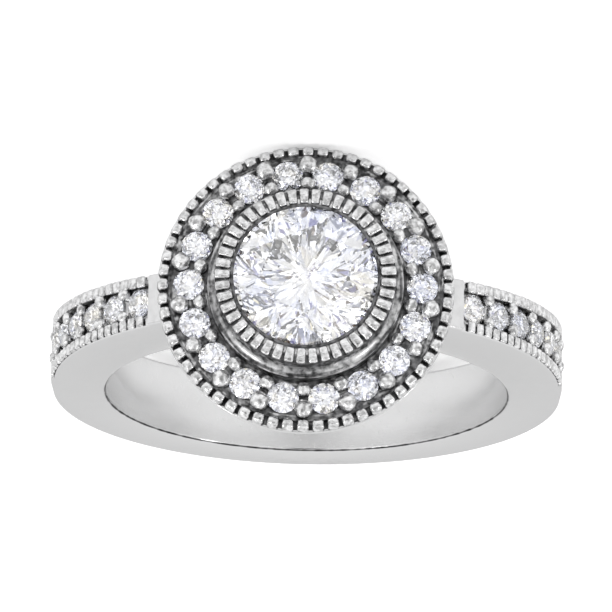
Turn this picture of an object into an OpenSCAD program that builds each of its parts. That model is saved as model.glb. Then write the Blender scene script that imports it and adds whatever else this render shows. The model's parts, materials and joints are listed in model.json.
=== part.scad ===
// Halo ring: a round centre stone in a notched bezel, a ring of small stones in a
// milgrain-edged cup, and a band with stones in a channel on each shoulder.
// The ring lies on its side: the finger hole's axis is near +Z and the head faces -Y.

/* [Finger hole] */
// Diameter of the finger hole
bore_d = 17.3; // [15.5:0.1:19.5]

/* [Band] */
// Thickness of the band at its sides
band_t = 2.3; // [2:0.05:2.6]
// How far the foot is thicker than the sides
foot_extra = 0.3; // [0.2:0.05:0.8]
// How far the shoulders rise toward the head
shoulder_rise = 1.1; // [1:0.05:1.6]
// Width of the band at the foot
foot_w = 3.6; // [3.2:0.1:4.2]
// Width of the band where it meets the head
neck_w = 2.1; // [2:0.05:2.6]

/* [Centre stone and bezel] */
// Diameter of the centre stone
stone_d = 6.1; // [5.6:0.1:6.6]
// Width of the notched ring on top of the bezel
bezel_t = 0.74; // [0.6:0.02:0.9]
// Height of the bezel above the ground that the halo stones sit in
bezel_h = 1.75; // [1.5:0.05:2.1]
// Number of notches round the bezel
bezel_notches = 45; // [36:1:50]

/* [Halo] */
// Diameter of each halo stone
halo_stone_d = 1.25; // [1.1:0.05:1.3]
// Width of the milgrain rim round the halo
rim_t = 0.48; // [0.42:0.02:0.6]
// Height of the cup's widest edge above the finger hole
cup_h = 3.15; // [2.9:0.05:3.8]
// Number of milgrain blocks round the rim
rim_blocks = 60; // [48:1:66]

/* [Shoulder stones] */
// Diameter of each shoulder stone
side_stone_d = 1.2; // [1:0.05:1.25]
// Distance from one shoulder stone to the next
side_pitch = 1.53; // [1.45:0.01:1.65]
// Width of each milgrain rail beside the stones
rail_t = 0.34; // [0.28:0.02:0.36]

/* [Hidden] */
halo_count = 18;
side_count = 6;
$fn = 64;

white_gold = [0.80, 0.80, 0.79];
clear_stone = [0.93, 0.95, 0.98];

gap = 0.03;        // clear space between a stone and its seat
over = 1;          // how far a cutter runs past a face

// Cut of a round brilliant, as parts of its diameter
table_part = 0.56;
star_part = 0.78;
middle_part = 0.4;
crown_part = 0.155;
girdle_part = 0.035;
pavilion_part = 0.43;
facet_half = 22.5;  // half the turn from one main facet to the next
crown_slope = 2 * crown_part / (1 - table_part);
pavilion_slope = 2 * pavilion_part;
upper_slope = crown_slope * (1 - star_part * cos(facet_half)) / (1 - star_part);
function culet_z(d) = -(girdle_part + pavilion_part) * d;
function middle_z(d) = culet_z(d) + middle_part * d / 2 * cos(facet_half) * pavilion_slope;

// Band, seen along the finger hole: two circles of one radius, joined by straight sides.
bore_r = bore_d / 2;
band_r = bore_r + band_t;
foot_y = band_r + foot_extra;

// Bezel: its lip is narrower than the stone's girdle, which it holds down.
lip_hold = 0.22;
lip_t = 0.12;
lip_r = stone_d / 2 - lip_hold;
bezel_r = lip_r + bezel_t;
bezel_ring_h = 0.3;
bezel_draw = 0.1;      // how far the drum is drawn in under the notched ring
bezel_spread = 0.24;   // how far it spreads again at its foot
bezel_waist_r = bezel_r - bezel_draw;
bezel_foot_r = bezel_r + bezel_spread;
step_w = 0.08;
step_h = 0.6;
step_r = bezel_foot_r + step_w;
edge_round = 0.1;      // slope that breaks the edges of the notched ring and of the rim
culet_hole_r = 0.3 * neck_w;   // leaves the band whole on both sides of the hole

// Halo: the stones stand between the bezel's step and the rim.
halo_stone_r = halo_stone_d / 2;
halo_in = 0.125;       // from the step to the stones
halo_out = 0.18;       // from the stones to the rim
halo_circle_r = step_r + halo_in + halo_stone_r;
rim_in_r = halo_circle_r + halo_stone_r + halo_out;
cup_r = rim_in_r + rim_t;
halo_pitch = 360 / halo_count;
rim_h = 0.6;
rim_lean = 0.07;       // how far the rim leans in, from its widest edge to its blocks
rim_lean_h = 0.3;

// Heights along the head's axis, from the centre of the finger hole
cup_z = bore_r + cup_h;
bowl_low = 0.25;       // lowest point of the bowl above the finger hole
bowl_deep = cup_h - bowl_low;
bowl_r = (cup_r * cup_r + bowl_deep * bowl_deep) / (2 * bowl_deep);
ground_rise = 0.35;    // of the ground above the cup's widest edge
ground_z = cup_z + ground_rise;
rim_z = cup_z + rim_h;
girdle_rise = 0.12;    // of the small stones' girdles above their ground
halo_girdle_z = ground_z + girdle_rise;
bezel_z = ground_z + bezel_h;
stone_girdle_z = bezel_z - lip_t - lip_hold * upper_slope - gap;
table_z = stone_girdle_z + crown_part * stone_d;

// Milgrain: width and depth of the cuts between its blocks
rim_cut_w = 0.14;
rim_cut_h = 0.22;
bezel_cut_w = 0.14;
bezel_cut_h = 0.24;
rail_cut_w = 0.13;
rail_cut_h = 0.16;
rail_pitch = 0.47;

// Bead prongs in the halo's gaps: no larger than what stays clear of the stones
bead_gap = 1.5 * gap;
bead_out = 0.4;
outer_bead = 0.26;
inner_bead = 0.2;
outer_bead_at = halo_circle_r + bead_out;
inner_bead_at = halo_circle_r - bead_out;
outer_bead_r = min(outer_bead, bead_room(outer_bead_at));
inner_bead_r = min(inner_bead, bead_room(inner_bead_at));
function bead_room(at) = norm([
    at * cos(halo_pitch / 2) - halo_circle_r, at * sin(halo_pitch / 2)
]) - halo_stone_r - bead_gap;

// Channels in the shoulders: angles run up from the side about the shoulders' own circle.
bar_w = 0.45;      // plain bar between a channel and the cup
channel_deep = 0.32;
side_rise = 0.1;   // of the stones' girdles above the channel's floor
side_in = 0.1;     // from the channel's end wall to its first stone
floor_r = band_r - channel_deep;
side_girdle_r = floor_r + side_rise;
channel_top = acos((cup_r + bar_w) / band_r);
side_step = arc_angle(side_pitch);
side_first = channel_top - arc_angle(side_stone_d / 2 + side_in);
channel_end = side_first - (side_count - 0.5) * side_step;
rail_step = arc_angle(rail_pitch);
rail_cuts = floor((channel_top - channel_end) / rail_step);
side_bead = 0.19;
side_bead_z = 0.47;
side_bead_r = min(side_bead, norm([side_pitch / 2, side_bead_z]) - side_stone_d / 2 - bead_gap);
function arc_angle(length) = length / band_r * 180 / PI;

// The band's width grows evenly from the neck, beside the cup, to the foot.
neck_y = -shoulder_rise - band_r * sin(channel_top);
taper = (foot_w - neck_w) / (foot_y - neck_y);
function width_at(y) = neck_w + (y - neck_y) * taper;

// The ring lies on the cup's widest edge and on the foot's edge, and so rests tilted.
foot_half = width_at(foot_y) / 2;
rest_tilt = atan((cup_r - foot_half) / (cup_z + foot_y));
rest_lift = cup_r * cos(rest_tilt) - cup_z * sin(rest_tilt);
head_reach = table_z * cos(rest_tilt) + table_part * stone_d / 2 * sin(rest_tilt);
foot_reach = foot_y * cos(rest_tilt) + foot_half * sin(rest_tilt);

// Places. The ring is drawn with the finger hole upright, and laid to rest at the end.
module at_rest() {
    translate([0, (head_reach - foot_reach) / 2, rest_lift])
        rotate([-rest_tilt, 0, 0]) children();
}

module on_head(height, radius = 0, angle = 0) {
    rotate([90, 0, 0]) rotate([0, 0, angle]) translate([radius, 0, height]) children();
}

module on_shoulder(side, angle, radius) {
    mirror([side, 0, 0]) translate([0, -shoulder_rise, 0])
        rotate([0, 0, -angle]) translate([radius, 0, 0]) children();
}

// Stones
function corners(n, r, z, turn = 0) =
    [for (i = [0:n - 1]) [r * cos(turn + i * 360 / n), r * sin(turn + i * 360 / n), z]];

// Round brilliant with the top of its girdle at z = 0
module brilliant(d) {
    r = d / 2;
    star_z = r * (1 - star_part) * upper_slope;
    points = concat(
        corners(8, table_part * r, crown_part * d),
        corners(8, star_part * r, star_z, facet_half),
        corners(16, r, 0),
        corners(16, r, -girdle_part * d),
        corners(8, middle_part * r, middle_z(d), facet_half),
        [[0, 0, culet_z(d)]]
    );
    hull() polyhedron(points, [for (i = [1:len(points) - 2]) [0, i, i + 1]]);
}

// Space for a stone under its girdle: half an outline, from the culet out
function seat_outline(d) = [
    [0, culet_z(d) - gap],
    [gap, culet_z(d) - gap],
    [middle_part * d / 2 + gap, middle_z(d) - gap],
    [d / 2 + gap, -girdle_part * d - gap]
];

// Space for a small stone, open upward from its girdle
module seat(d) {
    rotate_extrude() polygon(concat(seat_outline(d), [[d / 2 + gap, over], [0, over]]));
}

// Band
module between_faces(inset) {
    reach = band_r + over;
    ends = [-cup_z, foot_y + over];
    half = [for (y = ends) width_at(y) / 2 - inset];
    rotate([90, 0, 90]) translate([0, 0, -reach]) linear_extrude(2 * reach) polygon([
        [ends[0], -half[0]], [ends[1], -half[1]], [ends[1], half[1]], [ends[0], half[0]]
    ]);
}

module band_outline() {
    tall = 2 * foot_w;
    translate([0, foot_extra, -foot_w]) cylinder(r = band_r, h = tall);
    translate([0, -shoulder_rise, -foot_w]) {
        cylinder(r = band_r, h = tall);
        translate([-band_r, 0, 0]) cube([2 * band_r, shoulder_rise + foot_extra, tall]);
    }
}

module band() {
    intersection() {
        band_outline();
        between_faces(0);
    }
}

module channel(side) {
    intersection() {
        on_shoulder(side, channel_top, 0)
            rotate_extrude(angle = channel_top - channel_end)
                translate([floor_r, -foot_w]) square([channel_deep + over, 2 * foot_w]);
        between_faces(rail_t);
    }
}

// One cut crosses both rails: between them the channel is already open.
module rail_cut(side, k) {
    on_shoulder(side, channel_top - (k + 0.5) * rail_step, band_r - rail_cut_h)
        translate([0, -rail_cut_w / 2, -foot_w]) cube([over, rail_cut_w, 2 * foot_w]);
}

module side_beads(side) {
    for (k = [0:side_count - 1], up = [-1, 1])
        on_shoulder(side, side_first - (k + 0.5) * side_step, side_girdle_r)
            translate([0, 0, up * side_bead_z]) sphere(r = side_bead_r);
}

// Head
module bowl_outline() {
    intersection() {
        translate([0, cup_z - bowl_deep + bowl_r]) circle(r = bowl_r);
        square([cup_r, cup_z]);
    }
}

module rim_outline() {
    polygon([
        [0, cup_z],
        [cup_r, cup_z],
        [cup_r - rim_lean, cup_z + rim_lean_h],
        [cup_r - rim_lean - edge_round, rim_z],
        [rim_in_r + edge_round, rim_z],
        [rim_in_r, rim_z - edge_round],
        [rim_in_r, ground_z],
        [0, ground_z]
    ]);
}

module bezel_outline() {
    polygon([
        [0, cup_z],
        [step_r, cup_z],
        [step_r, ground_z + step_h],
        [bezel_foot_r, ground_z + step_h],
        [bezel_waist_r, bezel_z - bezel_ring_h],
        [bezel_r, bezel_z - bezel_ring_h],
        [bezel_r, bezel_z - edge_round],
        [bezel_r - edge_round, bezel_z],
        [0, bezel_z]
    ]);
}

module head() {
    on_head(0) rotate_extrude() {
        bowl_outline();
        rim_outline();
        bezel_outline();
    }
}

// Space for the centre stone, with the lip over its girdle and a hole under its culet
module centre_seat() {
    lip_low = bezel_z - lip_t - stone_girdle_z;
    on_head(stone_girdle_z) rotate_extrude() polygon(concat(seat_outline(stone_d), [
        [stone_d / 2 + gap, lip_low - (lip_hold + gap) * upper_slope],
        [lip_r, lip_low],
        [lip_r, lip_low + lip_t + over],
        [0, lip_low + lip_t + over]
    ]));
    on_head(0) cylinder(r = culet_hole_r, h = stone_girdle_z + middle_z(stone_d));
}

module block_cut(turn, in_r, out_r, low_z, wide) {
    on_head(low_z, in_r, turn)
        translate([0, -wide / 2, 0]) cube([out_r - in_r, wide, over]);
}

module halo_beads() {
    for (i = [0:halo_count - 1]) {
        angle = (i + 0.5) * halo_pitch;
        on_head(halo_girdle_z, outer_bead_at, angle) sphere(r = outer_bead_r);
        on_head(halo_girdle_z, inner_bead_at, angle) sphere(r = inner_bead_r);
    }
}

// Nodes
module ring_mount() {
    color(white_gold) at_rest() {
        difference() {
            union() {
                band();
                head();
            }
            translate([0, 0, -cup_r]) cylinder(r = bore_r, h = 2 * cup_r);
            centre_seat();
            for (i = [0:halo_count - 1])
                on_head(halo_girdle_z, halo_circle_r, i * halo_pitch) seat(halo_stone_d);
            for (i = [0:rim_blocks - 1])
                block_cut((i + 0.5) * 360 / rim_blocks,
                    rim_in_r - gap, cup_r + over, rim_z - rim_cut_h, rim_cut_w);
            for (i = [0:bezel_notches - 1])
                block_cut((i + 0.5) * 360 / bezel_notches,
                    lip_r + lip_t, bezel_r + gap, bezel_z - bezel_cut_h, bezel_cut_w);
            for (side = [0, 1]) {
                channel(side);
                for (k = [0:side_count - 1])
                    on_shoulder(side, side_first - k * side_step, side_girdle_r)
                        rotate([0, 90, 0]) seat(side_stone_d);
                for (k = [0:rail_cuts - 1]) rail_cut(side, k);
            }
        }
        halo_beads();
        for (side = [0, 1]) side_beads(side);
    }
}

module centre_stone() {
    color(clear_stone) at_rest() on_head(stone_girdle_z) brilliant(stone_d);
}

module halo_stone(i) {
    color(clear_stone) at_rest()
        on_head(halo_girdle_z, halo_circle_r, (i - 1) * halo_pitch) brilliant(halo_stone_d);
}

module shoulder_stone(i) {
    side = i > side_count ? 1 : 0;
    k = i - 1 - side * side_count;
    color(clear_stone) at_rest()
        on_shoulder(side, side_first - k * side_step, side_girdle_r)
            rotate([0, 90, 0]) brilliant(side_stone_d);
}

ring_mount();
centre_stone();
for (i = [1:halo_count])
    halo_stone(i);
for (i = [1:2 * side_count])
    shoulder_stone(i);
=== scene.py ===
import json
from math import acos, atan2, cos, floor, hypot, pi, radians, sin, sqrt

import bmesh
import bpy
from mathutils import Matrix, Vector


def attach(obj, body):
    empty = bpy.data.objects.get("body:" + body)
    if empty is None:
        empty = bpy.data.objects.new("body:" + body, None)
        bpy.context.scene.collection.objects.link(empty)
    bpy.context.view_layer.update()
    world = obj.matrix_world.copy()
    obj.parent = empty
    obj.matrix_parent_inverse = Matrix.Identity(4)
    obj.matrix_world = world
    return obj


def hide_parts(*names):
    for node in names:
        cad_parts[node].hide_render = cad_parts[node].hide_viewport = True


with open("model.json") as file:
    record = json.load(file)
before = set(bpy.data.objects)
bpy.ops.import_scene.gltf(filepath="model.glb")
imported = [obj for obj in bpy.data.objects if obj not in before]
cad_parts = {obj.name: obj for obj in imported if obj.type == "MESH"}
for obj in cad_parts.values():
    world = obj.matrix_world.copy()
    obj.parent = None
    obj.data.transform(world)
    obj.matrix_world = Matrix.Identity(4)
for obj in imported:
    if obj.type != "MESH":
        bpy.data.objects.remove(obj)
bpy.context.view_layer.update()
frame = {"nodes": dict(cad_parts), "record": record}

# The finger hole. Nothing is made for it: it is the open bore that a finger goes through.
# Every piece is drawn in millimetres round the upright hole, with the head toward -Y, and
# one matrix then lays it to rest on the cup's edge and the foot's edge.
hole = frame["record"]["mounts"][0]
hole_axis = Vector(hole["axis"])
rest_tilt = atan2(hole_axis.y, hole_axis.z)
at_rest = (
    Matrix.Translation(hole["pos_m"])
    @ Matrix.Rotation(-rest_tilt, 4, "X")
    @ Matrix.Scale(0.001, 4)
)
on_head = at_rest @ Matrix.Rotation(radians(90), 4, "X")
bore_r = 8.65


# The camera looks at the head from just above the floor, nearly along the head's axis and
# turned over, so that the head's far side is up in the picture as it is in a display box.
facing = radians(73.97)
turned_by = radians(-1.92)
leaning = radians(-0.89)
camera_far = 0.130
aim_height = 9.451
pixels_per_mm = 24.687
picture_wide = 612
sensor_wide = 36
clip_near = 0.01
upright = Matrix(((-1, 0, 0), (0, 0, -1), (0, -1, 0)))
lie = Matrix.Rotation(-rest_tilt, 3, "X") @ upright
right = lie @ Vector((cos(turned_by), -sin(turned_by), 0))
up = lie @ Vector((sin(facing) * sin(turned_by), sin(facing) * cos(turned_by), cos(facing)))
back = lie @ Vector((-cos(facing) * sin(turned_by), -cos(facing) * cos(turned_by), sin(facing)))
picture_right = right * cos(leaning) + up * sin(leaning)
picture_up = up * cos(leaning) - right * sin(leaning)
camera = bpy.data.objects.new("camera", bpy.data.cameras.new("camera"))
bpy.context.collection.objects.link(camera)
camera.data.sensor_width = sensor_wide
camera.data.lens = pixels_per_mm * camera_far * 1000 / picture_wide * sensor_wide
camera.data.clip_start = clip_near
sight = Matrix((picture_right, picture_up, back)).transposed().to_4x4()
sight.translation = on_head @ Vector((0, 0, aim_height)) + back * camera_far
camera.matrix_world = sight
bpy.context.scene.camera = camera


# The band is one bent bar of white gold, widest at the foot, its edges softened by polishing.
# Each shoulder has a channel cut between two thin rails, with a conical seat for each of six
# stones. A hole drilled through the band under the head lets light reach the centre stone.
band_r = 10.95
foot_extra = 0.3
shoulder_rise = 1.1
foot_w = 3.6
neck_w = 2.1
cup_r = 5.925
bar_w = 0.45
inner_soft = 0.14
edge_soft = 0.08
foot_soft = 0.2
rail_soft = 0.04
head_soft = 0.06
face_end = 0.06
channel_deep = 0.32
rail_t = 0.34
rail_lean = 0.02
rail_cut = 0.16
side_stone_d = 1.2
side_pitch = 1.53
side_count = 6
side_rise = 0.1
side_in = 0.1
foot_y = band_r + foot_extra
floor_r = band_r - channel_deep
side_girdle_r = floor_r + side_rise
channel_top = acos((cup_r + bar_w) / band_r)
side_step = side_pitch / band_r
side_first = channel_top - (side_stone_d / 2 + side_in) / band_r
channel_end = side_first - (side_count - 0.5) * side_step
neck_y = -shoulder_rise - band_r * sin(channel_top)
taper = (foot_w - neck_w) / (foot_y - neck_y)
under_cup = radians(65.5)
bridge_r = 9.2
culet_hole_r = 0.3 * neck_w


def half_width(y):
    """half the band's width, which grows from the head to the foot"""
    return (neck_w + (y - neck_y) * taper) / 2


def node(tree, kind, inputs=(), **settings):
    """a node with its settings, and its inputs set or linked by name or place"""
    made = tree.nodes.new(kind)
    for key, value in settings.items():
        setattr(made, key, value)
    for place, value in dict(inputs).items():
        if isinstance(value, bpy.types.NodeSocket):
            tree.links.new(value, made.inputs[place])
        else:
            made.inputs[place].default_value = value
    return made


def sums(tree, operation, *values):
    """the result of one sum"""
    return node(tree, "ShaderNodeMath", enumerate(values), operation=operation).outputs[0]


def vector_sums(tree, operation, *values, result="Vector"):
    """the result of one sum of vectors"""
    made = node(tree, "ShaderNodeVectorMath", enumerate(values), operation=operation)
    return made.outputs[result]


def grey(tone, cool=1.0):
    """a grey, with a little more blue where it is cool"""
    return (tone, tone, tone * cool, 1)


def mixed(tree, amount, first, second):
    """one colour laid over another"""
    inputs = {0: amount, 6: first, 7: second}
    return node(tree, "ShaderNodeMix", inputs, data_type="RGBA").outputs[2]


def round_head(tree, place, around, outward, upward, size):
    """the place as a way round the head's axis and a distance out and up, for a pattern"""
    turned = on_head.to_3x3().normalized()
    away = vector_sums(tree, "SUBTRACT", place, tuple(on_head.translation))
    x, y, high = [
        vector_sums(tree, "DOT_PRODUCT", away, tuple(axis), result="Value") for axis in turned.col
    ]
    far = sums(tree, "SQRT", sums(tree, "MULTIPLY_ADD", x, x, sums(tree, "MULTIPLY", y, y)))
    across = sums(tree, "MULTIPLY_ADD", far, outward, sums(tree, "MULTIPLY", high, upward))
    return node(tree, "ShaderNodeCombineXYZ", {
        0: sums(tree, "MULTIPLY", sums(tree, "DIVIDE", x, far), around),
        1: sums(tree, "MULTIPLY", sums(tree, "DIVIDE", y, far), around),
        2: sums(tree, "MULTIPLY", across, size),
    }).outputs[0]


# Tones and roughness that all finishes of the white gold share
fresh_tone = 0.96
soot_and_shade_dark = 0.05
soot_and_shade_light = 0.26
line_rough = 0.08
brushed_rough = 0.3
soot_rough = 0.3
grain_deep = 0.00002


def white_gold(
    name, polish, grain, hammer=0.0, streaks=0.0, soot=0.4, full_dark=0.75, wear=0.5,
    tones=(0.728, 0.742), fleck=2600,
):
    """polished white gold that darkens where its attribute of patina and painted shade rises"""
    material = bpy.data.materials.new(name)
    material.use_nodes = True
    tree = material.node_tree
    shader = tree.nodes["Principled BSDF"]
    place = node(tree, "ShaderNodeTexCoord").outputs["Object"]
    fine = node(tree, "ShaderNodeTexNoise", {
        "Vector": place, "Scale": fleck, "Detail": 4,
    }).outputs["Fac"]
    if streaks:
        along = round_head(tree, place, around=2.5, outward=0.8, upward=1.0, size=6000.0)
        line_size = 1.6
    else:
        drawn_out = {"Vector": place, "Scale": (900, 9000, 1400)}
        along = node(tree, "ShaderNodeMapping", drawn_out).outputs[0]
        line_size = 5
    lines = node(tree, "ShaderNodeTexNoise", {
        "Vector": along, "Scale": line_size, "Detail": 3,
    }).outputs["Fac"]
    mottle = node(tree, "ShaderNodeMapRange", {
        "Value": fine, "From Min": 0.36, "From Max": 0.64,
    }).outputs[0]
    stain_and_shade = node(tree, "ShaderNodeAttribute", attribute_name="patina_and_painted_shade").outputs["Fac"]
    rubbed = sums(tree, "MULTIPLY_ADD", lines, -streaks, streaks / 2)
    worn = sums(tree, "MULTIPLY_ADD", mottle, -wear, sums(tree, "ADD", rubbed, wear / 2))
    dark = node(tree, "ShaderNodeMapRange", {
        "Value": sums(tree, "ADD", stain_and_shade, sums(tree, "MULTIPLY", worn, stain_and_shade)),
        "From Min": 0.08, "From Max": full_dark,
    }, interpolation_type="SMOOTHSTEP").outputs[0]
    worked = mixed(tree, mottle, *[grey(tone, 1.005) for tone in tones])
    fresh = sums(tree, "MULTIPLY", stain_and_shade, -1.0)
    metal = mixed(tree, fresh, worked, grey(fresh_tone))
    # The dark oxide colour serves both real patina and painted shade, as the attribute asks
    oxide_and_shade = mixed(tree, mottle, grey(soot_and_shade_dark * soot, 1.02), grey(soot_and_shade_light * soot, 1.02))
    tree.links.new(mixed(tree, dark, metal, oxide_and_shade), shader.inputs["Base Color"])
    shader.inputs["Metallic"].default_value = 1
    polished = sums(tree, "MULTIPLY_ADD", lines, line_rough, polish)
    brushed = sums(tree, "MAXIMUM", fresh, 0.0)
    satin = sums(tree, "MULTIPLY_ADD", brushed, brushed_rough, polished)
    rough = sums(tree, "MULTIPLY_ADD", dark, soot_rough, satin)
    tree.links.new(rough, shader.inputs["Roughness"])
    dents = sums(tree, "ADD", dark, hammer)
    bump = node(tree, "ShaderNodeBump", {
        "Height": sums(tree, "MULTIPLY_ADD", fine, dents, lines),
        "Strength": grain, "Distance": grain_deep,
    })
    tree.links.new(bump.outputs[0], shader.inputs["Normal"])
    return material


def as_mesh(shape):
    """what was drawn, as a mesh"""
    mesh = bpy.data.meshes.new("drawn")
    shape.to_mesh(mesh)
    shape.free()
    return mesh


def lathed(outline, steps, whole=True):
    """a closed mesh turned from half an outline: a loop, or a line from axis to axis"""
    shape = bmesh.new()
    rings = []
    for r, h in outline:
        count = 1 if r < 1e-6 else steps
        rings.append([
            shape.verts.new((r * cos(2 * pi * i / steps), r * sin(2 * pi * i / steps), h))
            for i in range(count)
        ])
    above = rings[1:] + rings[:1] if whole else rings[1:]
    for low, high in zip(rings, above):
        for i in range(steps):
            j = (i + 1) % steps
            corners = dict.fromkeys((
                low[i % len(low)], low[j % len(low)], high[j % len(high)], high[i % len(high)],
            ))
            if len(corners) > 2:
                shape.faces.new(list(corners))
    bmesh.ops.recalc_face_normals(shape, faces=shape.faces)
    return as_mesh(shape)


def placed(mesh, matrix):
    """the same mesh in another place"""
    mesh.transform(matrix)
    return mesh


def plain_mesh(holder):
    """what an object's modifiers make, as a mesh of its own"""
    seen = bpy.context.evaluated_depsgraph_get()
    made = bpy.data.meshes.new_from_object(holder.evaluated_get(seen), depsgraph=seen)
    bpy.data.objects.remove(holder)
    return made


def cut(mesh, knife):
    """the mesh without the knife's space"""
    body = bpy.data.objects.new("body", mesh)
    tool = bpy.data.objects.new("tool", knife)
    bpy.context.collection.objects.link(body)
    bpy.context.collection.objects.link(tool)
    modifier = body.modifiers.new("cut", "BOOLEAN")
    modifier.operation = "DIFFERENCE"
    modifier.solver = "EXACT"
    modifier.object = tool
    made = plain_mesh(body)
    bpy.data.objects.remove(tool)
    return made


def row_tree():
    """Geometry Nodes that set one shape in a row round a centre, each a little different"""
    tree = bpy.data.node_groups.new("row", "GeometryNodeTree")
    sockets = {
        "Shape": "Geometry", "Count": "Int", "Start": "Float", "Step": "Float",
        "Radius": "Float", "Height": "Float", "Lean": "Float",
        "Spin": "Vector", "Vary": "Float", "Seed": "Int", "Finish": "Material",
    }
    for name, kind in sockets.items():
        tree.interface.new_socket(name, in_out="INPUT", socket_type="NodeSocket" + kind)
    tree.interface.new_socket("Row", in_out="OUTPUT", socket_type="NodeSocketGeometry")
    given = tree.nodes.new("NodeGroupInput").outputs
    index = tree.nodes.new("GeometryNodeInputIndex").outputs[0]
    turn = sums(tree, "MULTIPLY_ADD", index, given["Step"], given["Start"])
    x = sums(tree, "MULTIPLY", sums(tree, "COSINE", turn), given["Radius"])
    y = sums(tree, "MULTIPLY", sums(tree, "SINE", turn), given["Radius"])
    z = sums(tree, "MULTIPLY_ADD", y, given["Lean"], given["Height"])
    spot = node(tree, "ShaderNodeCombineXYZ", {0: x, 1: y, 2: z}).outputs[0]
    facing_out = node(tree, "ShaderNodeCombineXYZ", {2: turn}).outputs[0]
    points = node(tree, "GeometryNodePoints", {"Count": given["Count"], "Position": spot})
    stood = node(tree, "GeometryNodeInstanceOnPoints", {
        "Points": points.outputs[0], "Instance": given["Shape"], "Rotation": facing_out,
    })
    other_way = node(tree, "ShaderNodeVectorMath", {
        0: given["Spin"], "Scale": -1.0,
    }, operation="SCALE")
    spin = node(tree, "FunctionNodeRandomValue", {
        0: other_way.outputs[0], 1: given["Spin"], "Seed": given["Seed"],
    }, data_type="FLOAT_VECTOR")
    spun = node(tree, "GeometryNodeRotateInstances", {
        "Instances": stood.outputs[0], "Rotation": spin.outputs[0],
    })
    size = node(tree, "FunctionNodeRandomValue", {
        2: sums(tree, "SUBTRACT", 1.0, given["Vary"]), 3: sums(tree, "ADD", 1.0, given["Vary"]),
        "Seed": given["Seed"],
    })
    sized = node(tree, "GeometryNodeScaleInstances", {
        "Instances": spun.outputs[0], "Scale": size.outputs[1],
    })
    real = node(tree, "GeometryNodeRealizeInstances", {0: sized.outputs[0]})
    finished = node(tree, "GeometryNodeSetMaterial", {
        "Geometry": real.outputs[0], "Material": given["Finish"],
    })
    end = tree.nodes.new("NodeGroupOutput")
    tree.links.new(finished.outputs[0], end.inputs[0])
    return tree


row = row_tree()


def in_row(shape, finish=None, **sizes):
    """a mesh with the shape repeated in a row; the inputs are set by their identifiers"""
    if finish:
        sizes["Finish"] = finish
    holder = bpy.data.objects.new("row", shape)
    bpy.context.collection.objects.link(holder)
    modifier = holder.modifiers.new("row", "NODES")
    modifier.node_group = row
    for item in row.interface.items_tree:
        if item.in_out == "INPUT" and item.name in sizes:
            modifier[item.identifier] = sizes[item.name]
    return plain_mesh(holder)


def on_shoulders(shape, first, step, finish=None, **sizes):
    """a row down each shoulder, from the first place beside the head"""
    return [
        in_row(shape, finish, Start=start, Step=turn, **sizes)
        for start, turn in ((-first, step), (pi + first, -step))
    ]


# The cut of a round brilliant below its girdle's top, as parts of its width
girdle_part = 0.035
pavilion_part = 0.43
middle_part = 0.2
middle_deep_part = 0.306
play = 0.03
knife_top = 0.6
hole_steps = 48


def seat_knife(d, rise):
    """the space of a stone's seat under its girdle, which stands clear of the ground"""
    culet = -(girdle_part + pavilion_part) * d - play
    low = -middle_deep_part * d - play
    high = -girdle_part * d - play
    ground = -(rise + play)
    at_ground = middle_part * d + play + (0.5 - middle_part) * d * (ground - low) / (high - low)
    outline = [
        (0, culet), (play, culet), (middle_part * d + play, low), (at_ground, ground),
        (d / 2 + play, high), (d / 2 + play, knife_top), (0, knife_top),
    ]
    return lathed(outline, hole_steps, whole=False)


def stained_and_shaded(mesh, rule):
    """darkens a metal mesh by a rule on where each of its points is"""
    patina_and_painted_shade = mesh.attributes.new("patina_and_painted_shade", "FLOAT", "POINT")
    for k, point in enumerate(mesh.vertices):
        patina_and_painted_shade.data[k].value = rule(*point.co)
    return mesh


crisp_from = radians(38)


def metal_piece(name, mesh, place, finish=None):
    """a finished piece of the mount, smooth but crisp at its edges; a row has its own finish"""
    mesh.transform(place)
    finish = finish or mesh.materials[-1]
    mesh.materials.clear()
    mesh.materials.append(finish)
    mesh.polygons.foreach_set("use_smooth", [True] * len(mesh.polygons))
    mesh.set_sharp_from_angle(angle=crisp_from)
    made = bpy.data.objects.new(name, mesh)
    bpy.context.collection.objects.link(made)
    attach(made, "root")
    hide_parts("ring_mount")


def band_section(centre_y, angle, edge_r, inside_r, soft):
    """the band's outline where a plane through the centre cuts it"""
    ux, uy = cos(angle), sin(angle)
    inner = -centre_y * uy + sqrt((centre_y * uy) ** 2 - centre_y ** 2 + bore_r ** 2)
    quarter = [k * pi / 8 for k in range(5)]
    line = [(inner + inner_soft * (1 - cos(q)), inner_soft * (1 - sin(q))) for q in quarter]
    line.append((edge_r - soft - face_end, 0))
    line += [(edge_r - soft * (1 - sin(q)), soft * (1 - cos(q))) for q in quarter]
    line += [(edge_r, rail_t), (inside_r, rail_t + rail_lean)]
    upper = []
    for s, inset in line:
        y = centre_y + s * uy
        upper.append((s * ux, y, half_width(y) - inset))
    middle = (inside_r * ux, centre_y + inside_r * uy, 0)
    return upper + [middle] + [(x, y, -z) for x, y, z in reversed(upper)]


def shoulder_arc(start, end, edge_r, inside_r, soft, steps):
    """the outlines of one shoulder from one angle to another"""
    angles = [start + (end - start) * k / steps for k in range(steps + 1)]
    return [band_section(-shoulder_rise, pi + a, edge_r, inside_r, soft) for a in angles]


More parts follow.
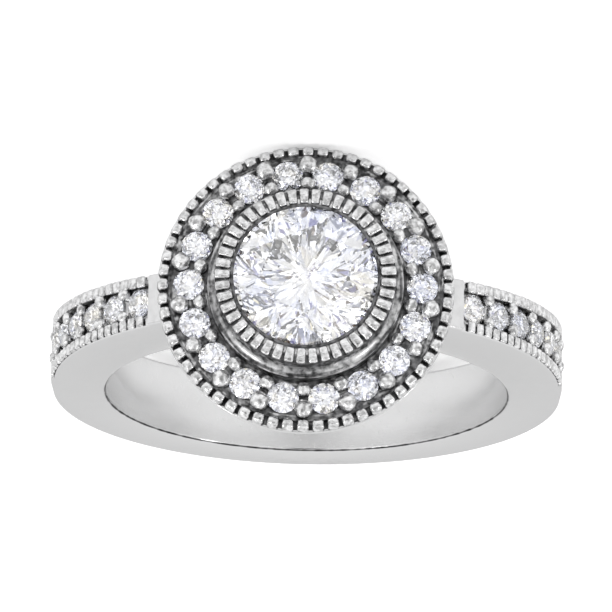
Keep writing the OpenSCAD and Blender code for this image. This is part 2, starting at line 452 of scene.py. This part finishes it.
foot_steps = 120
flank_steps = 4
bridge_steps = 12
sections = []
for k in range(foot_steps + 1):
    angle = pi * k / foot_steps
    soft = edge_soft + foot_soft * sin(angle)
    sections.append(band_section(foot_extra, angle, band_r, band_r, soft))
for k in range(1, flank_steps):
    centre_y = foot_extra - (foot_extra + shoulder_rise) * k / flank_steps
    sections.append(band_section(centre_y, pi, band_r, band_r, edge_soft))
hair = radians(0.04)
half = shoulder_arc(0, channel_end - hair, band_r, band_r, edge_soft, steps=6)
half += shoulder_arc(
    channel_end, channel_top, band_r - rail_cut, floor_r, rail_soft, steps=32,
)
half += shoulder_arc(channel_top + hair, under_cup, band_r, band_r, head_soft, steps=8)
for k in range(1, bridge_steps + 1):
    share = k / bridge_steps
    angle = pi + (under_cup + (pi / 2 - under_cup) * share)
    bridge = band_r + (bridge_r - band_r) * share
    half.append(band_section(-shoulder_rise, angle, bridge, bridge, head_soft))
sections += half
sections += [[(-x, y, z) for x, y, z in section] for section in reversed(half[:-1])]
for k in range(1, flank_steps):
    centre_y = -shoulder_rise + (foot_extra + shoulder_rise) * k / flank_steps
    sections.append(band_section(centre_y, 0, band_r, band_r, edge_soft))

shape = bmesh.new()
loops = [[shape.verts.new(p) for p in section] for section in sections]
for one, two in zip(loops, loops[1:] + loops[:1]):
    for i in range(len(one)):
        j = (i + 1) % len(one)
        shape.faces.new((one[i], one[j], two[j], two[i]))
bmesh.ops.recalc_face_normals(shape, faces=shape.faces)
band_mesh = as_mesh(shape)
lying = Matrix.Translation((0, -shoulder_rise, 0))
outward = Matrix.Rotation(radians(90), 4, "Y")
side_seat = placed(seat_knife(side_stone_d, side_rise), outward)
for seats in on_shoulders(side_seat, side_first, side_step, Count=side_count, Radius=side_girdle_r):
    band_mesh = cut(band_mesh, placed(seats, lying))
drill_low = 6
drill_high = 12
culet_drill = lathed([
    (0, drill_low), (culet_hole_r, drill_low), (culet_hole_r, drill_high), (0, drill_high),
], hole_steps, whole=False)
band_mesh = cut(band_mesh, placed(culet_drill, Matrix.Rotation(radians(90), 4, "X")))

# Patina and painted shade: 0 is polished, 1 and more is black, and less than 0 is cut bright or
# brushed
seat_bright = -1
bore_brushed = -0.4
bar_worn = 0.16
rail_worn = 0.1
painted_edge_dark = 0.9
painted_edge_faint = 0.3
foot_dark = 0.3
wall_dark = 0.45
wall_faint = 0.25
wall_fade = 3
cut_dark = 1.0
foot_from = 8
rail_top = 0.1
face_clear = 0.08
near = 0.02


def band_stain_and_shade(x, y, z):
    """dark in the channels and round the rails' cuts, bright in the seats, a painted dark
    reflection at the bore's edge
    """
    off_bore = hypot(x, y) - bore_r
    inset = half_width(y) - abs(z)
    corner = max(off_bore, inset)
    # Painted dark reflection: a dark line along the bore's edge on the +Z side only, which faces
    # the camera
    if z > 0 and corner < 0.65 * inner_soft:
        return painted_edge_dark if corner < 0.35 * inner_soft else painted_edge_faint
    if off_bore < near / 2:
        return bore_brushed
    if y > foot_from and inset < 0.03 and off_bore > band_r - bore_r - 0.1:
        return foot_dark * (y / foot_y) ** 12
    reach = hypot(x, y + shoulder_rise)
    angle = atan2(-(y + shoulder_rise), abs(x))
    if angle > channel_top + hair / 2:
        return bar_worn if reach > band_r - near else 0
    if angle < channel_end - hair / 2:
        return 0
    deep = band_r - reach
    if inset > rail_t - near / 2:
        if deep > channel_deep + near:
            return seat_bright
        if deep < rail_top:
            return rail_worn
        return max(wall_dark - wall_fade * max(inset - rail_t - 0.03, 0), wall_faint)
    return cut_dark if inset > face_clear and rail_cut - near < deep < rail_cut + near else 0


polished_gold = white_gold("polished white gold", polish=0.1, grain=0.05)
metal_piece("band", stained_and_shaded(band_mesh, band_stain_and_shade), at_rest, polished_gold)


# The rails' milgrain is a row of small round-cornered blocks along each side of a channel.
# They are raised from the rails' own metal with a beading wheel, and darkened between.
rail_pitch = 0.47
rail_step = rail_pitch / band_r
rail_blocks = floor((channel_top - channel_end) / rail_step)
tab_wide = 0.46
tab_soft = 0.09
rail_middle = (neck_w - (shoulder_rise + neck_y) * taper) / 2 - tab_wide / 2
block_worn = 0.1
slot_share = 0.4
milgrain_gold = white_gold(
    "milgrain white gold", polish=0.1, grain=0.7, hammer=1.5, wear=2.2,
    tones=(0.55, 0.92), fleck=5200,
)


def block(long, wide, high, soft, foot=0.0, fan=0, slope=0, end=0.06, slot_dark=3.0):
    """a rounded block on its own foot, dark low down, narrower toward -X, drawn in at +X"""
    shape = bmesh.new()
    bmesh.ops.create_cube(shape, size=1)
    for point in shape.verts:
        point.co.x *= long
        point.co.y *= wide * (1 + fan * point.co.x)
        point.co.z = (point.co.z + 0.5) * (high + foot) - foot
    bmesh.ops.bevel(
        shape, geom=shape.edges[:], offset=soft, offset_type="OFFSET",
        segments=3, profile=0.5, affect="EDGES", clamp_overlap=True,
    )
    for point in shape.verts:
        if point.co.x > 0 and point.co.z > 0:
            point.co.x *= 1 - slope * (point.co.z / high) ** 2

    def block_stain(x, y, z):
        """dark toward the foot, except at the ends"""
        return slot_dark if z < slot_share * high and abs(x) < long / 2 - end else block_worn

    return stained_and_shaded(as_mesh(shape), block_stain)


def joined(meshes):
    """several meshes of one finish as one, with their patina"""
    points, faces, patina_and_painted_shade = [], [], []
    for mesh in meshes:
        base = len(points)
        points += [point.co[:] for point in mesh.vertices]
        faces += [[base + i for i in face.vertices] for face in mesh.polygons]
        patina_and_painted_shade += [value.value for value in mesh.attributes["patina_and_painted_shade"].data]
    whole = bpy.data.meshes.new("joined")
    whole.from_pydata(points, [], faces)
    whole.attributes.new("patina_and_painted_shade", "FLOAT", "POINT").data.foreach_set("value", patina_and_painted_shade)
    whole.materials.append(meshes[0].materials[-1])
    return whole


rails = []
for edge, tab_long in ((-1, 0.43), (1, 0.35)):
    rails += on_shoulders(
        placed(block(tab_wide, tab_long, rail_cut, tab_soft), outward),
        channel_top - rail_step, rail_step, milgrain_gold,
        Count=rail_blocks, Radius=band_r - rail_cut,
        Height=edge * rail_middle, Lean=edge * taper / 2,
        Spin=(0.05, 0.03, 0.03), Vary=0.03, Seed=3,
    )
metal_piece("rail_milgrain", placed(joined(rails), lying), at_rest)


# Beads in the channels hold the shoulder stones. Each is a small ball of the floor's metal,
# raised with a graver in the gap between two stones and pushed against both.
side_bead_r = 0.26
side_bead_z = 0.47
side_bead_up = 0.06
bead_dark = 1.0
bead_worn = 0.18
bead_full = 0.9
bead_square = 0.65
bead_uneven = 0.03
bead_gold = white_gold(
    "bead white gold", polish=0.14, grain=0.7, hammer=2.0, wear=2.2,
    tones=(0.6, 0.95), fleck=5200,
)


def bead(r):
    """a bead of metal: a ball, a little square and uneven, dark at its foot"""
    shape = bmesh.new()
    bmesh.ops.create_icosphere(shape, subdivisions=3, radius=r)
    for point in shape.verts:
        way = point.co.normalized()
        square = (abs(way.x) ** 5 + abs(way.y) ** 5 + abs(way.z) ** 5) ** (-1 / 5)
        uneven = sin(4 * way.x + 1) + sin(5 * way.y + 2) + sin(6 * way.z)
        point.co *= bead_full * (1 - bead_square + bead_square * square) + bead_uneven * uneven
    return stained_and_shaded(as_mesh(shape), lambda x, y, z: bead_dark if z < -0.05 * r else bead_worn)


side_beads = []
for edge in (-1, 1):
    side_beads += on_shoulders(
        placed(bead(side_bead_r), outward),
        side_first - side_step / 2, side_step, bead_gold,
        Count=side_count, Radius=side_girdle_r + side_bead_up,
        Height=edge * side_bead_z, Spin=(3, 0.2, 0.2), Vary=0.06, Seed=5,
    )
metal_piece("shoulder_beads", placed(joined(side_beads), lying), at_rest)


# The cup is a shallow bowl of white gold soldered over the band. Its wall leans in from its
# widest edge to a ledge, on which the milgrain rim stands.
cup_h = 3.15
bowl_low = 0.25
bowl_hole_r = 0.75
bowl_t = 0.5
bowl_edge = 0.15
hollow_r = 4.6
rim_t = 0.48
rim_low = 0.18
ground_rise = 0.35
inside_dark = 3.0
ledge_dark = 0.7
rim_in_r = cup_r - rim_t
cup_z = bore_r + cup_h
ledge_z = cup_z + rim_low
ground_z = cup_z + ground_rise
bowl_deep = cup_h - bowl_low
bowl_r = (cup_r ** 2 + bowl_deep ** 2) / (2 * bowl_deep)


def rounded(corners):
    """an outline whose corners are broken by their own softness"""
    points = []
    for k, (r, h, soft) in enumerate(corners):
        corner = Vector((r, h))
        if soft == 0:
            points.append((r, h))
            continue
        ends = []
        for near in (corners[k - 1], corners[(k + 1) % len(corners)]):
            away = Vector(near[:2]) - corner
            ends.append(corner + away.normalized() * min(soft, 0.49 * away.length))
        for step in range(5):
            s = step / 4
            p = ends[0] * (1 - s) ** 2 + corner * 2 * s * (1 - s) + ends[1] * s * s
            points.append((p.x, p.y))
    return points


def bowl_height(r):
    """how high the bowl's round underside is"""
    return cup_z - bowl_deep + bowl_r - sqrt(bowl_r ** 2 - r ** 2)


cup_outline = []
for k in range(24):
    r = bowl_hole_r + (cup_r - bowl_edge - bowl_hole_r) * k / 23
    cup_outline.append((r, bowl_height(r), 0))
cup_outline += [
    (cup_r, cup_z, 0.12),
    (cup_r - 0.02, ledge_z, 0.04),
    (cup_r - 0.09, ledge_z, 0),
    (cup_r - 0.12, ledge_z, 0),
    (rim_in_r, ledge_z, 0.02),
    (rim_in_r, ground_z - 0.4, 0),
    (hollow_r, ground_z - 0.6, 0),
    (bowl_hole_r, bowl_height(bowl_hole_r) + bowl_t, 0),
]


def cup_stain(x, y, z):
    """dark on the ledge between the blocks and inside the rim"""
    r = hypot(x, y)
    if r < rim_in_r + 0.02 and z > cup_z - 0.4:
        return inside_dark
    return ledge_dark if z > ledge_z - 0.06 and r < cup_r - 0.1 else 0


cup_mesh = stained_and_shaded(lathed(rounded(cup_outline), 240), cup_stain)
metal_piece("cup", cup_mesh, on_head, polished_gold)


# The halo's rim is sixty bright blocks, cut apart with a fine saw and rounded at the corners.
# The cuts stay dark with patina.
rim_blocks = 60
rim_h = 0.6
rim_block_w = 0.455
rim_block_soft = 0.12
block_foot = 0.05
block_in = rim_in_r + 0.01
block_out = cup_r - 0.02
block_at = (block_in + block_out) / 2
block_long = block_out - block_in
rim_block = block(
    block_long, rim_block_w, rim_h - rim_low, rim_block_soft, block_foot,
    fan=block_long / block_at, slope=0.5, slot_dark=1.0,
)
metal_piece("rim_milgrain", in_row(
    rim_block, milgrain_gold, Count=rim_blocks, Step=2 * pi / rim_blocks, Radius=block_at,
    Height=ledge_z, Spin=(0.04, 0.04, 0.03), Vary=0.02, Seed=7,
), on_head)


# The ground is the halo's floor, sunk between the rim and the bezel and left dark with
# patina. Each of its eighteen stones has a bright conical seat cut into it.
halo_stone_d = 1.25
halo_count = 18
halo_rise = 0.12
halo_in = 0.125
stone_d = 6.1
lip_hold = 0.22
bezel_t = 0.74
bezel_foot_out = 0.24
step_out = 0.08
ground_dark = 1.0
lip_r = stone_d / 2 - lip_hold
bezel_r = lip_r + bezel_t
bezel_foot_r = bezel_r + bezel_foot_out
step_r = bezel_foot_r + step_out
halo_circle_r = step_r + halo_in + halo_stone_d / 2
halo_girdle_z = ground_z + halo_rise
halo_pitch = 2 * pi / halo_count
ground_in_r = step_r - 0.3
ground_out_r = rim_in_r + 0.03
ground_low = ground_z - 0.7
ground_outline = [
    (ground_in_r, ground_low), (ground_out_r, ground_low),
    (ground_out_r, ground_z), (ground_in_r, ground_z),
]
halo_seats = in_row(
    seat_knife(halo_stone_d, halo_rise), Count=halo_count, Step=halo_pitch,
    Radius=halo_circle_r, Height=halo_girdle_z,
)
ground_mesh = stained_and_shaded(
    cut(lathed(ground_outline, 180), halo_seats),
    lambda x, y, z: seat_bright if z < ground_z - 0.02 else ground_dark,
)
antique_gold = white_gold(
    "antiqued white gold", polish=0.16, grain=0.5, hammer=0.8, streaks=3.2,
    soot=1.0, full_dark=1.0, fleck=4600,
)
metal_piece("halo_ground", ground_mesh, on_head, antique_gold)


# Two bead prongs stand in each gap of the halo, a large one outside and a small one inside.
# They are raised from the ground and pushed over the stones' edges.
halo_beads = []
for out, r, high in ((0.4, 0.36, 0.1), (-0.4, 0.29, 0.08)):
    halo_beads.append(in_row(
        bead(r), bead_gold, Count=halo_count, Start=halo_pitch / 2, Step=halo_pitch,
        Radius=halo_circle_r + out, Height=halo_girdle_z + high,
        Spin=(0.3, 0.3, 3), Vary=0.12, Seed=11,
    ))
metal_piece("halo_beads", joined(halo_beads), on_head)


# The bezel is a turned collar round the centre stone: a step at its foot, a hollow drum, and
# a lip closed down on the stone's girdle. Its seat is bright and open below.
lip_t = 0.12
lip_soft = 0.05
bezel_h = 1.75
bezel_ring_h = 0.3
bezel_cut = 0.24
step_h = 0.6
cove_h = 0.6
stem_low = 9.3
stem_high = 9.6
stem_r = 1.6
crown_part = 0.155
table_part = 0.56
star_part = 0.78
facet_half = radians(22.5)
crown_slope = 2 * crown_part / (1 - table_part)
upper_slope = crown_slope * (1 - star_part * cos(facet_half)) / (1 - star_part)
bezel_z = ground_z + bezel_h
girdle_z = bezel_z - lip_t - lip_hold * upper_slope - play
culet_z = girdle_z - (girdle_part + pavilion_part) * stone_d
middle_r = middle_part * stone_d
middle_z = culet_z + middle_r * cos(facet_half) * 2 * pavilion_part
seat_r = stone_d / 2 + play
step_z = ground_z + step_h
waist_r = bezel_r - 0.1
bezel_outline = [
    (culet_hole_r, stem_low, 0),
    (stem_r, stem_high, 0),
    (step_r, ground_z - 0.9, 0),
    (step_r, step_z, 0.06),
    (bezel_foot_r, step_z, 0.02),
]
for k in range(1, 12):
    q = k * pi / 24
    cove_r = bezel_foot_r - (bezel_foot_r - waist_r) * sin(q)
    bezel_outline.append((cove_r, step_z + cove_h * (1 - cos(q)), 0))
bezel_outline += [
    (waist_r, bezel_z - bezel_ring_h, 0.02),
    (bezel_r - 0.01, bezel_z - bezel_ring_h, 0.03),
    (bezel_r - 0.01, bezel_z - bezel_cut, 0.02),
    (lip_r + lip_t, bezel_z - bezel_cut, 0.02),
    (lip_r + lip_t, bezel_z - lip_soft, 0.03),
    (lip_r, bezel_z - lip_soft, 0.04),
    (lip_r, bezel_z - lip_t, 0),
    (seat_r, bezel_z - lip_t - (lip_hold + play) * upper_slope, 0),
    (seat_r, girdle_z - girdle_part * stone_d - play, 0),
    (middle_r + play, middle_z - play, 0),
    (culet_hole_r, culet_z + (culet_hole_r - play) * 0.8, 0.05),
]
ring_dark = 3.0
step_side = 0.9
step_edge = 0.65
drum_patina_and_shade = 0.58


def bezel_stain_and_shade(x, y, z):
    """dark between the blocks, streaky on the drum and step, painted shade under the ring, bright
    in the seat
    """
    r = hypot(x, y)
    if r < stone_d / 2 + 0.05 and z < bezel_z - lip_t - 0.01:
        return seat_bright
    if z > bezel_z - bezel_ring_h - 0.02:
        return ring_dark
    if z < step_z + 0.02:
        return step_edge if z > step_z - 0.05 and r > bezel_foot_r + 0.02 else step_side
    # Patina and painted shade: the drum darkens toward the overhanging ring of blocks above it
    return min(drum_patina_and_shade + 3 * (z - step_z) ** 2, ring_dark)


bezel_mesh = stained_and_shaded(lathed(rounded(bezel_outline), 180), bezel_stain_and_shade)
metal_piece("bezel", bezel_mesh, on_head, antique_gold)


# The bezel's milgrain is forty-five blocks filed into its top ring, square-cut and bright.
# They stand close round the lip that holds the centre stone, with dark notches between them.
bezel_blocks = 45
notch_w = 0.36
notch_soft = 0.09
notch_in = lip_r + lip_t + 0.01
notch_at = (notch_in + bezel_r) / 2
notch_long = bezel_r - notch_in
notch_block = block(
    notch_long, notch_w, bezel_cut, notch_soft, block_foot,
    fan=notch_long / notch_at, end=-0.1,
)
metal_piece("bezel_milgrain", in_row(
    notch_block, milgrain_gold, Count=bezel_blocks, Step=2 * pi / bezel_blocks,
    Radius=notch_at, Height=bezel_z - bezel_cut,
    Spin=(0.03, 0.03, 0.02), Vary=0.015, Seed=13,
), on_head)


# The stones are round brilliants of clear diamond, each cut and polished flat facet by facet.
# The CAD's own solids have the true cut, so they stay, in a clear stone with a little fire painted
# in as tints.
diamond_ior = 2.417
diamond_rough = 0.012
diamond_glint = 0.12
chip_size = 2600.0


def shades(tree, value, stops, blend="LINEAR"):
    """a value turned into colours, each at its own stop"""
    made = node(tree, "ShaderNodeValToRGB", {0: value})
    ramp = made.color_ramp
    ramp.interpolation = blend
    ramp.elements.remove(ramp.elements[1])
    ramp.elements[0].color = stops[0][1]
    for stop, colour in stops[1:]:
        ramp.elements.new(stop).color = colour
    return made.outputs[0]


def diamond(name, painted_fire_size, splinters, kick):
    """clear stone with a faint play of colour painted in as tints, broken into splinters of light
    """
    material = bpy.data.materials.new(name)
    material.use_nodes = True
    tree = material.node_tree
    shader = tree.nodes["Principled BSDF"]
    place = node(tree, "ShaderNodeTexCoord").outputs["Object"]
    cells = node(tree, "ShaderNodeTexVoronoi", {"Vector": place, "Scale": painted_fire_size})
    pick = node(tree, "ShaderNodeSeparateColor", {0: cells.outputs["Color"]}).outputs[0]
    # Painted fire: tints in the stone's colour stand in for light split into colours
    painted_fire = shades(tree, pick, (
        (0, (0.82, 0.86, 1.0, 1)), (0.25, grey(1)), (0.5, (0.97, 0.98, 1.0, 1)),
        (0.75, grey(1)), (1, (1.0, 0.96, 0.86, 1)),
    ))
    tree.links.new(painted_fire, shader.inputs["Base Color"])
    polish = node(tree, "ShaderNodeTexNoise", {"Vector": place, "Scale": 900, "Detail": 2})
    rough = sums(tree, "MULTIPLY", polish.outputs["Fac"], diamond_rough)
    tree.links.new(rough, shader.inputs["Roughness"])
    shards = node(tree, "ShaderNodeTexVoronoi", {"Vector": splinters(tree, place), "Scale": 1.0})
    off = vector_sums(tree, "SUBTRACT", shards.outputs["Color"], (0.5, 0.5, 0.5))
    facet = tree.nodes.new("ShaderNodeNewGeometry").outputs["Normal"]
    kicked = vector_sums(tree, "MULTIPLY_ADD", off, (kick, kick, kick), facet)
    tree.links.new(vector_sums(tree, "NORMALIZE", kicked), shader.inputs["Normal"])
    shader.inputs["IOR"].default_value = diamond_ior
    shader.inputs["Transmission Weight"].default_value = 1
    shader.inputs["Metallic"].default_value = diamond_glint
    return material


def spokes(tree, place):
    """the place, stretched so that a pattern runs out from the head's middle in spokes"""
    return round_head(tree, place, around=3.6, outward=1.0, upward=0.0, size=480.0)


def chips(tree, place):
    """the place, at the size of a small stone's chips of light"""
    inputs = {0: place, "Scale": chip_size}
    return node(tree, "ShaderNodeVectorMath", inputs, operation="SCALE").outputs[0]


centre_diamond = diamond("centre diamond", painted_fire_size=900, splinters=spokes, kick=0.16)
small_diamond = diamond("small diamond", painted_fire_size=2500, splinters=chips, kick=0.12)
for name, stone in frame["nodes"].items():
    if name != "ring_mount":
        for held in stone.material_slots:
            held.material = centre_diamond if name == "centre_stone" else small_diamond


# The ring lies on a plain pale floor, wide enough to fill the picture. It glows a little
# where it is looked at, as a sheet lit from all round does.
floor_half = 1.5
glow_seen = 0.34
glow_cast = 0.06
floor_mesh = bpy.data.meshes.new("floor")
floor_mesh.from_pydata([
    (-floor_half, -floor_half, 0), (floor_half, -floor_half, 0),
    (floor_half, floor_half, 0), (-floor_half, floor_half, 0),
], [], [(0, 1, 2, 3)])
floor_sheet = bpy.data.objects.new("floor", floor_mesh)
bpy.context.collection.objects.link(floor_sheet)
floor_paint = bpy.data.materials.new("pale floor")
floor_paint.use_nodes = True
floor_tree = floor_paint.node_tree
floor_shader = floor_tree.nodes["Principled BSDF"]
floor_shader.inputs["Base Color"].default_value = grey(0.92)
floor_shader.inputs["Roughness"].default_value = 0.8
floor_shader.inputs["Specular IOR Level"].default_value = 0.1
floor_shader.inputs["Emission Color"].default_value = grey(1)
looked_at = node(floor_tree, "ShaderNodeLightPath").outputs["Is Camera Ray"]
glow = sums(floor_tree, "MULTIPLY_ADD", looked_at, glow_seen, glow_cast)
floor_tree.links.new(glow, floor_shader.inputs["Emission Strength"])
floor_mesh.materials.append(floor_paint)


# Soft studio light: a white tent round the ring, greyer toward the horizon, with a dark
# opening where the picture is taken from, and two soft boxes. Through a stone the tent is
# seen as light and dark panels, which its facets turn into sparkle.
opening_edge = radians(14)
opening_full = radians(8)
tent = bpy.data.worlds.new("tent")
tent.use_nodes = True
bpy.context.scene.world = tent
tent_tree = tent.node_tree
way = node(tent_tree, "ShaderNodeTexCoord").outputs["Generated"]
height = node(tent_tree, "ShaderNodeSeparateXYZ", {0: way}).outputs[2]
cloth = shades(tent_tree, height, (
    (0, grey(0.68)), (0.2, grey(0.80)), (0.45, grey(1.02)), (1, grey(0.92)),
))
panels = node(tent_tree, "ShaderNodeTexVoronoi", {"Vector": way, "Scale": 6.0, "Randomness": 0.9})
panel = node(tent_tree, "ShaderNodeSeparateColor", {0: panels.outputs["Color"]}).outputs[1]
sparkle = shades(tent_tree, panel, (
    (0, (0.16, 0.11, 0.08, 1)), (0.08, grey(1.6)), (0.3, (0.34, 0.33, 0.62, 1)),
    (0.37, (1.1, 1.12, 1.24, 1)), (0.58, (1.3, 1.2, 0.86, 1)), (0.63, (0.42, 0.44, 0.54, 1)),
    (0.76, grey(2.0)),
), "CONSTANT")
light_path = node(tent_tree, "ShaderNodeLightPath").outputs
in_stone = light_path["Is Transmission Ray"]
wall = mixed(tent_tree, in_stone, cloth, sparkle)
gap = mixed(tent_tree, in_stone, grey(0.04), (0.7, 0.7, 0.72, 1))
toward = vector_sums(tent_tree, "DOT_PRODUCT", way, tuple(back), result="Value")
opening = node(tent_tree, "ShaderNodeMapRange", {
    "Value": toward, "From Min": cos(opening_edge), "From Max": cos(opening_full),
}, interpolation_type="SMOOTHSTEP").outputs[0]
seen = mixed(tent_tree, opening, wall, gap)
backdrop = mixed(tent_tree, light_path["Is Camera Ray"], seen, grey(1))
tent_tree.links.new(backdrop, tent_tree.nodes["Background"].inputs[0])
tent_tree.nodes["Background"].inputs[1].default_value = 1.0
lamp_aim = Vector((0, 0, 0.005))
for name, spot, size, power in (
    ("left box", (0.25, -0.18, 0.30), 0.08, 0.22),
    ("right box", (-0.28, -0.10, 0.22), 0.06, 0.12),
):
    lamp = bpy.data.objects.new(name, bpy.data.lights.new(name, "AREA"))
    bpy.context.collection.objects.link(lamp)
    lamp.data.size = size
    lamp.data.energy = power
    lamp.location = spot
    lamp.rotation_euler = (lamp_aim - Vector(spot)).to_track_quat("-Z", "Y").to_euler()
bpy.context.scene.view_settings.view_transform = "Standard"

# Light turns round many times inside a cut stone, and the usual four bounces leave it grey
bpy.context.scene.cycles.glossy_bounces = 12
